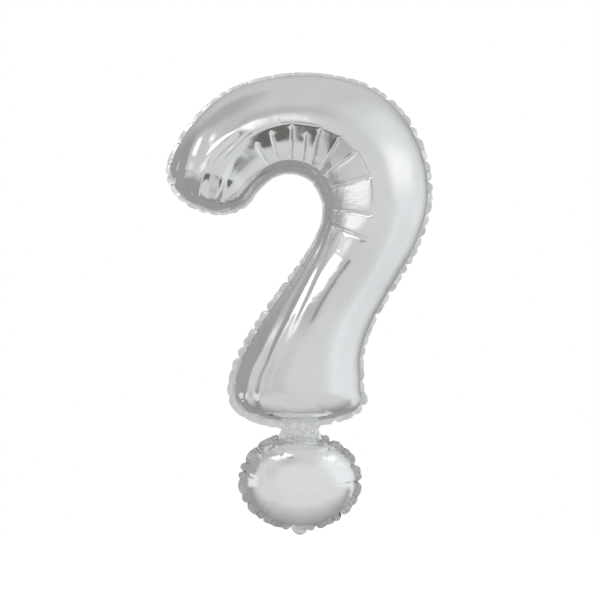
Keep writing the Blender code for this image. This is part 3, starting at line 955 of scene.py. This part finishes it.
def make_hook():
    skin = hook_skin()
    spots = spots_of(skin, HOOK_ROWS * 2, HOOK_COLUMNS * 2)
    skin.free()
    spots = calmed(spots, HookPlan(HOOK_ROWS * 2))
    spots = folded(np.stack([
        finer(finer(sheet, FILM_ROWS).swapaxes(0, 1), FILM_COLUMNS).swapaxes(0, 1)
        for sheet in spots]))

    def spot_at(row, share, side, edge):
        return spots[int(side > 0), row, round((share + 1) / 2 * FILM_COLUMNS)].tolist()

    bm = hook_envelope(HookPlan(FILM_ROWS), FILM_COLUMNS, spot_at)
    along, across, gather = floats(bm, "along", "across", "gather")
    for v in bm.verts:
        first = float(lookup(v[along], GATHER_START)) + 0.06
        inside = min(1.0, max(0.0, (-v[across] - first) / 0.15)) * min(
            1.0, (1 + v[across]) / 0.05)
        v[gather] = GATHER_BUMP * inside * float(lookup(v[along], GATHER_ZONE))
    return envelope_pieces(bm, "hook", 0, HOOK_LOBE_PITCH, EDGE_WIDTHS, EDGE_LOBES, HOOK_PRESS)


def make_dot():
    bm = dot_skin()
    along, across = floats(bm, "along", "across")
    # the section that film takes which can't stretch: dy/dr = r^2 / sqrt(1 - r^4)
    radius = np.sin(np.linspace(0, math.pi / 2, PROFILE_STEPS))
    slope = radius**2 / np.sqrt(np.maximum(1 - radius**4, 1e-6))
    height = summed((slope[1:] + slope[:-1]) / 2 * np.diff(radius))
    height = 1 - height / height[-1]
    run = summed(np.hypot(np.diff(radius), PROFILE_DEPTH * np.diff(height)))
    run /= run[-1]
    for v in bm.verts:
        out, way = float(np.interp(v[along], run, radius)), v[across]
        side = 1 if v.co.y > 0 else -1
        high = float(np.interp(out, radius, height))
        smooth = DOT_CENTRE + Vector((DOT_HALF.x * out * math.sin(way), side * DOT_HALF.y * high,
                                      DOT_HALF.z * out * math.cos(way)))
        v.co = smooth.lerp(v.co, KEEP_DOT_FOLDS)
    return envelope_pieces(bm, "dot", 1, DOT_LOBE_PITCH, DOT_EDGE_WIDTHS, DOT_EDGE_LOBES,
                           DOT_PRESS)


def depth_at(piece, x, z, side):
    """How far out a film lies at x, z, or 0 beside it."""
    hit, spot, _, _ = piece.ray_cast(Vector((x, side * 0.5, z)), Vector((0, -side, 0)))
    return abs(spot.y) if hit else 0.0


def two_sheets(bm, columns, rows):
    """A front grid and a back one: side, vertex, place across (-1 to 1) and down (0 to 1)."""
    for side in (-1, 1):
        made = bmesh.ops.create_grid(bm, x_segments=columns, y_segments=rows, size=1.0)
        for v in made["verts"]:
            yield side, v, v.co.x, (1 - v.co.y) / 2


def make_neck():
    """The gathered throat between foot and dot: two creased sheets over both seams."""
    bm = bmesh.new()
    films = {side: [bpy.data.objects["%s_%s_film" % (kind, face)] for kind in ("hook", "dot")]
             for side, face in ((-1, "front"), (1, "back"))}
    for side, v, u, w in two_sheets(bm, 64, 56):
        z = NECK_TOP + (NECK_FOOT - NECK_TOP) * w
        x = float(lookup(w, NECK_WIDTHS)) * u
        y = NECK_SWELL * math.sqrt(max(0.0, 1 - u * u)) * (0.55 + 0.9 * abs(w - 0.5))
        for film in films[side]:
            there = depth_at(film, x, z, side)
            if there:
                y = max(y, there + NECK_PROUD * min(1.0, 5 * min(w, 1 - w)) - NECK_SINK)
        here = Vector((x, side * 0.02, z))
        pleat = noise.turbulence(Vector((x * 170, side, z * 60)), 3, True)
        small = noise.turbulence(here * 420, 2, True)
        rim = min(1.0, 6 * w, 6 * (1 - w)) * math.sqrt(max(0.0, 1 - u**6))
        y += rim * (NECK_PLEAT * (pleat - 0.5) + NECK_CRUMPLE * (small - 0.5))
        x += NECK_WANDER * noise.noise(here * 150) * rim
        v.co = (x, side * max(0.0002, y), z)
    return finished(bm, "neck_gathers", levels=1)


def make_tail():
    """The filler tail: two tongues of film with a rounded point, slightly parted."""
    bm = bmesh.new()
    for side, v, u, w in two_sheets(bm, 28, 28):
        z = TAIL_TOP + (TAIL_TIP - TAIL_TOP) * w
        x = TAIL_HALF * (1 - w**2.6) ** 0.6 * u if w < 1 else 0.0
        here = Vector((x, side * 0.01, z))
        y = TAIL_GAP + TAIL_SWELL * (1 - u * u) * (1 - w) + TAIL_WAVE * noise.noise(here * 160)
        pleat = noise.turbulence(Vector((x * 210, side, z * 50)), 2, True)
        y += TAIL_PLEAT * (pleat - 0.5)
        v.co = (x, side * max(0.0004, y), z)
    return finished(bm, "filler_tail_tongues", levels=1)


def paint(name):
    """A new material with the Principled shader: its tree, the shader and the coordinates."""
    material = bpy.data.materials.get(name) or bpy.data.materials.new(name)
    material.use_nodes = True
    tree = material.node_tree
    tree.nodes.clear()
    shader = tree.nodes.new("ShaderNodeBsdfPrincipled")
    out = tree.nodes.new("ShaderNodeOutputMaterial")
    tree.links.new(shader.outputs["BSDF"], out.inputs["Surface"])
    return material, tree, shader, tree.nodes.new("ShaderNodeTexCoord").outputs


def feed(made, inputs):
    """Links an output to each of a node's inputs, or sets a constant there."""
    for key, value in inputs.items():
        if isinstance(value, bpy.types.NodeSocket):
            made.id_data.links.new(value, made.inputs[key])
        else:
            made.inputs[key].default_value = value


def node(tree, kind, inputs=None, out=0, **values):
    """A new node with these inputs, constants and settings; gives one of its outputs."""
    made = tree.nodes.new("ShaderNode" + kind)
    for key, value in values.items():
        if hasattr(made, key):
            setattr(made, key, value)
        else:
            made.inputs[key].default_value = value
    feed(made, inputs or {})
    return made.outputs[out]


def grain(tree, place, **values):
    return node(tree, "TexNoise", {"Vector": place}, **values)


def scaled(tree, place, scale):
    return node(tree, "Mapping", {"Vector": place}, Scale=scale)


def calc(tree, operation, *values):
    return node(tree, "Math", dict(enumerate(values)), operation=operation)


def ranged(tree, value, low, high, start=0.0, end=1.0, kind="LINEAR"):
    """Maps start to low and end to high."""
    return node(tree, "MapRange", {0: value, 1: start, 2: end, 3: low, 4: high},
                interpolation_type=kind)


def blend(tree, factor, first, second):
    """Mixes two colours."""
    return node(tree, "Mix", {"Factor": factor, 6: first, 7: second}, 2, data_type="RGBA")


def bumped(tree, height, strength, distance, below=None):
    """A bump, on top of another one if that is given."""
    inputs = {"Height": height, "Normal": below} if below else {"Height": height}
    return node(tree, "Bump", inputs, Strength=strength, Distance=distance)


def foil(name, colour, smudge, rough=FILM_ROUGHNESS, dimples=FILM_GRAIN, wrinkles=True):
    """Metallised film: a mirror with smudges, faint rolling marks and pin-fine dimples."""
    material, tree, shader, places = paint(name)
    place = places["Object"]
    clouds = grain(tree, place, Scale=9.0, Detail=4.0, Roughness=0.6)
    streaks = grain(tree, scaled(tree, place, (60, 60, 4)), Scale=3.0, Detail=3.0)
    bump = bumped(tree, grain(tree, place, Scale=dimples, Detail=2.0), 0.12, 0.0002)
    slack = grain(tree, place, Scale=28.0, Detail=2.0, Distortion=0.6)
    bump = bumped(tree, slack, 0.25, 0.0012, bump)
    if wrinkles:
        run, far, gather = (node(tree, "Attribute", out="Fac", attribute_name=layer)
                            for layer in ("run", "far", "gather"))
        at = node(tree, "CombineXYZ", {0: run, 1: far})
        fine = grain(tree, scaled(tree, at, (420, 45, 1)), Scale=1.0, Detail=2.0,
                     Roughness=0.65)
        near = calc(tree, "MAXIMUM", ranged(tree, far, 1.0, 0.0, 0.002, 0.020), gather)
        bump = bumped(tree, calc(tree, "MULTIPLY", fine, near), 0.5, 0.0016, bump)
    feed(shader, {
        "Base Color": blend(tree, ranged(tree, clouds, 0, 1, 0.35, 0.7), (*colour, 1),
                            (*smudge, 1)),
        "Roughness": ranged(tree, calc(tree, "ADD", clouds, streaks), *rough, 0.7, 1.3),
        "Metallic": 1.0, "Coat Weight": 0.25, "Coat Roughness": 0.04, "Normal": bump})
    return material


def weld_finish():
    """The heat weld: duller double film with the sealing wheel's fine cross ribs."""
    material, tree, shader, places = paint("welded foil")
    place = places["Object"]
    clouds = grain(tree, place, Scale=45.0, Detail=4.0)
    wheel = node(tree, "TexWave", {"Vector": place}, "Fac", Scale=260.0, Distortion=0.4,
                 bands_direction="DIAGONAL")
    ribs = grain(tree, place, Scale=520.0, Detail=1.0)
    feed(shader, {
        "Base Color": blend(tree, clouds, *WELD_TINTS), "Metallic": 1.0,
        "Roughness": ranged(tree, clouds, 0.12, 0.30, 0.3, 0.7),
        "Normal": bumped(tree, ribs, 0.5, 0.0006, bumped(tree, wheel, 0.15, 0.0002))})
    return material


def valve_finish():
    """Clear film of the self-closing valve, a little milky and creased."""
    material, tree, shader, places = paint("valve film")
    haze = grain(tree, places["Object"], Scale=120.0, Detail=3.0)
    feed(shader, {
        "Base Color": blend(tree, haze, *VALVE_TINTS), "Roughness": ranged(tree, haze, 0.18, 0.4),
        "Transmission Weight": 0.45, "Normal": bumped(tree, haze, 0.4, 0.0004)})
    return material


def floor_finish(colour):
    """Pale seamless paper with the faintest mottling."""
    material, tree, shader, places = paint("pale floor")
    mottle = grain(tree, places["Object"], Scale=3.0, Detail=4.0)
    tint = blend(tree, mottle, (*colour, 1), (*(c * FLOOR_MOTTLE for c in colour), 1))
    feed(shader, {"Base Color": tint, "Emission Color": tint, "Emission Strength": FLOOR_GLOW,
                  "Roughness": 0.7})
    return material


def board_finish(name, near, far, soft):
    """A lit board that fades out towards its edges."""
    material, tree, shader, places = paint(name)
    place = node(tree, "SeparateXYZ", {0: places["UV"]}).node.outputs
    edges = []
    for share, width in zip(place, soft):
        off = calc(tree, "ABSOLUTE", calc(tree, "SUBTRACT", share, 0.5))
        edges.append(ranged(tree, off, 0, 1, 0.5, 0.5 - width, "SMOOTHSTEP"))
    feed(shader, {
        "Base Color": (0, 0, 0, 1), "Specular IOR Level": 0.0, "Emission Color": (1, 1, 1, 1),
        "Emission Strength": ranged(tree, place[1], near, far, *BOARD_RAMP, "SMOOTHSTEP"),
        "Alpha": calc(tree, "MULTIPLY", *edges)})
    return material


def dress(pieces, film, body, front_node, back_node, *edge_nodes):
    """Gives an envelope's films and welded edge their looks, hangs them on their body and hides the CAD
    parts they take the place of.
    """
    front, back, edge = pieces
    for piece, foil_node in ((front, front_node), (back, back_node)):
        piece.data.materials.append(film)
        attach(piece, body)
        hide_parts(foil_node)
    edge.data.materials.append(weld_finish())
    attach(edge, body)
    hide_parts(*edge_nodes)


def soft_light(name, middle, size, power):
    """A softbox; it isn't seen itself."""
    lamp = bpy.data.lights.new(name, "AREA")
    lamp.shape, lamp.size, lamp.size_y = "RECTANGLE", size[0], size[1]
    lamp.energy = power
    thing = bpy.data.objects.new(name, lamp)
    thing.location = middle
    way = Vector(LIGHT_AIM) - Vector(middle)
    thing.rotation_euler = way.to_track_quat("-Z", "Y").to_euler()
    bpy.context.scene.collection.objects.link(thing)
    thing.visible_camera = thing.visible_glossy = False


def room_colour(power):
    """The dark corners are a little warm, the bright ones a little cool."""
    warm = max(0.0, 0.6 - power)
    cool = max(0.0, power - 0.6)
    return (power * (1 - 0.12 * cool), power * (1 - 0.10 * warm - 0.01 * cool),
            power * (1 - 0.22 * warm + 0.02 * cool), 1)


def studio_world():
    """White to the camera; to the foil, a pale room of soft lights and a few dark corners."""
    world = bpy.data.worlds.new("studio")
    bpy.context.scene.world = world
    world.use_nodes = True
    tree = world.node_tree
    tree.nodes.clear()
    way = node(tree, "TexCoord", out="Generated")
    x, y, z = node(tree, "SeparateXYZ", {0: way}).node.outputs
    azimuth = calc(tree, "ARCTAN2", x, calc(tree, "MULTIPLY", y, -1.0))
    height = calc(tree, "ARCSINE", z)
    share = ranged(tree, height, 0, 1, -math.pi / 2, math.pi / 2)
    level = blend(tree, share, *(room_colour(power) for power in ROOM_LEVELS))
    for (turn, rise), (wide, tall), soft, power in ROOM_PATCHES:
        squares = []
        for angle, middle, half in ((azimuth, turn, wide), (height, rise, tall)):
            far = calc(tree, "SUBTRACT", angle, math.radians(middle))
            far = calc(tree, "DIVIDE", far, math.radians(half))
            squares.append(calc(tree, "MULTIPLY", far, far))
        near = ranged(tree, calc(tree, "ADD", *squares), 0, 1, (1 + soft) ** 2, (1 - soft) ** 2,
                      "SMOOTHSTEP")
        level = blend(tree, near, level, room_colour(power))
    room = node(tree, "Background", {0: level})
    white = node(tree, "Background", {0: (1, 1, 1, 1)})
    seen = node(tree, "LightPath", out="Is Camera Ray")
    feed(tree.nodes.new("ShaderNodeOutputWorld"),
         {0: node(tree, "MixShader", {0: seen, 1: room, 2: white})})


def make_stage(look):
    scene = bpy.context.scene
    bm = bmesh.new()
    bmesh.ops.create_circle(bm, cap_ends=True, segments=96, radius=FLOOR_RADIUS)
    bmesh.ops.translate(bm, vec=(0, 0, look.floor_height), verts=bm.verts)
    floor = finished(bm, "floor")
    floor.data.materials.append(floor_finish(look.floor_colour))
    floor.visible_glossy = False
    for name, corners, near, far, soft in BOARDS:
        bm = bmesh.new()
        bm.loops.layers.uv.new("UVMap")
        bmesh.ops.create_grid(bm, x_segments=1, y_segments=1, size=0.5, calc_uvs=True)
        for v in bm.verts:
            v.co = corners[(0 if v.co.x < 0 else 1) if v.co.y < 0 else (3 if v.co.x < 0 else 2)]
        board = finished(bm, name)
        board.data.materials.append(board_finish(name, near, far, soft))
        board.visible_camera = board.visible_shadow = board.visible_diffuse = False
    studio_world()
    for name, middle, size, power in SOFT_LIGHTS:
        soft_light(name, middle, size, power * look.light)
    lens = bpy.data.cameras.new("camera")
    lens.lens, lens.sensor_width = CAMERA_LENS, 36.0
    eye = bpy.data.objects.new("camera", lens)
    eye.location = CAMERA_AT
    eye.rotation_euler = (math.pi / 2, 0, 0)
    scene.collection.objects.link(eye)
    scene.camera = eye
    scene.view_settings.view_transform = "Standard"


def colour_of(name, text, *default):
    return bpy.props.FloatVectorProperty(name=name, description=text, subtype="COLOR",
                                         default=default, min=0, max=1)


class BalloonFinish(bpy.types.PropertyGroup):
    foil_colour: colour_of("Foil", "Colour of the clean metallised film", 0.86, 0.865, 0.87)
    # painted light: the dot's film is the hook's film, painted lighter for the brighter light that the dot
    # catches
    dot_colour_painted_lighter: colour_of("Dot foil", "Colour of the dot's clean film", 0.95, 0.955, 0.96)
    smudge_colour: colour_of("Smudge", "Colour where the film is touched or dull",
                             0.78, 0.785, 0.79)


class BalloonStage(bpy.types.PropertyGroup):
    floor_colour: colour_of("Floor", "Colour of the seamless floor", 0.93, 0.93, 0.93)
    floor_height: bpy.props.FloatProperty(
        name="Floor height", description="Height of the floor below the balloon",
        default=-0.62, subtype="DISTANCE", unit="LENGTH")
    light: bpy.props.FloatProperty(
        name="Light", description="Strength of all the softboxes", default=1.0, min=0)


class BALLOON_OT_hook(bpy.types.Operator):
    """Blow up the hook from its flat sheets, with its welded edge"""
    bl_idname = "balloon.hook"
    bl_label = "Hook"

    def execute(self, context):
        look = context.scene.balloon_finish
        dress(make_hook(), foil("hook foil", look.foil_colour, look.smudge_colour), "hook",
              "hook_front_foil", "hook_back_foil", "hook_weld_border")
        return {"FINISHED"}


class BALLOON_OT_dot(bpy.types.Operator):
    """Blow up the dot from its flat sheets, with its welded edge"""
    bl_idname = "balloon.dot"
    bl_label = "Dot"

    def execute(self, context):
        look = context.scene.balloon_finish
        # the dot's foil is painted lighter than the hook's for the brighter light it catches; its smudges
        # take the hook's clean colour
        dress(make_dot(), foil("dot foil", look.dot_colour_painted_lighter, look.foil_colour), "dot",
              "dot_front_foil", "dot_back_foil", "dot_weld_border_left", "dot_weld_border_right")
        return {"FINISHED"}


class BALLOON_OT_neck(bpy.types.Operator):
    """Gather the throat between the hook's foot and the dot"""
    bl_idname = "balloon.neck"
    bl_label = "Neck"

    def execute(self, context):
        look = context.scene.balloon_finish
        neck = make_neck()
        neck.data.materials.append(foil("neck foil", look.foil_colour, look.smudge_colour,
                                        NECK_ROUGHNESS, NECK_GRAIN, wrinkles=False))
        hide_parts("neck_upper_foil", "neck_lower_foil")
        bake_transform(neck, "hook", "dot", start=(0, 0, NECK_BEND[0]), end=(0, 0, NECK_BEND[1]))
        return {"FINISHED"}


class BALLOON_OT_tail(bpy.types.Operator):
    """Cut the filler tail and finish the valve film in it"""
    bl_idname = "balloon.tail"
    bl_label = "Filler tail"

    def execute(self, context):
        tail = make_tail()
        tail.data.materials.append(weld_finish())
        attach(tail, "dot")
        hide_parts("filler_tail_front", "filler_tail_back")
        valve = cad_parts["filler_valve_film"]
        valve.data.materials.clear()
        valve.data.materials.append(valve_finish())
        return {"FINISHED"}


class BALLOON_OT_stage(bpy.types.Operator):
    """Set the floor, the soft light and the camera"""
    bl_idname = "balloon.stage"
    bl_label = "Stage"

    def execute(self, context):
        make_stage(context.scene.balloon_stage)
        return {"FINISHED"}


class BALLOON_PT_pieces(bpy.types.Panel):
    """Lists the pieces of the balloon"""
    bl_label = "Foil balloon"
    bl_space_type = "VIEW_3D"
    bl_region_type = "UI"
    bl_category = "Balloon"

    def draw(self, context):
        column = self.layout.column()
        for group in (context.scene.balloon_finish, context.scene.balloon_stage):
            for key in group.bl_rna.properties.keys():
                if key not in ("rna_type", "name"):
                    column.prop(group, key)
        for piece in PIECES:
            column.operator(piece.bl_idname)


PIECES = (BALLOON_OT_hook, BALLOON_OT_dot, BALLOON_OT_neck, BALLOON_OT_tail, BALLOON_OT_stage)
CLASSES = (BalloonFinish, BalloonStage, *PIECES, BALLOON_PT_pieces)


def register():
    for made in CLASSES:
        bpy.utils.register_class(made)
    bpy.types.Scene.balloon_finish = bpy.props.PointerProperty(type=BalloonFinish)
    bpy.types.Scene.balloon_stage = bpy.props.PointerProperty(type=BalloonStage)


def unregister():
    del bpy.types.Scene.balloon_finish, bpy.types.Scene.balloon_stage
    for made in reversed(CLASSES):
        bpy.utils.unregister_class(made)


def main():
    register()
    bpy.ops.balloon.hook()
    bpy.ops.balloon.dot()
    bpy.ops.balloon.neck()
    bpy.ops.balloon.tail()
    bpy.ops.balloon.stage()


if __name__ == "__main__":
    main()
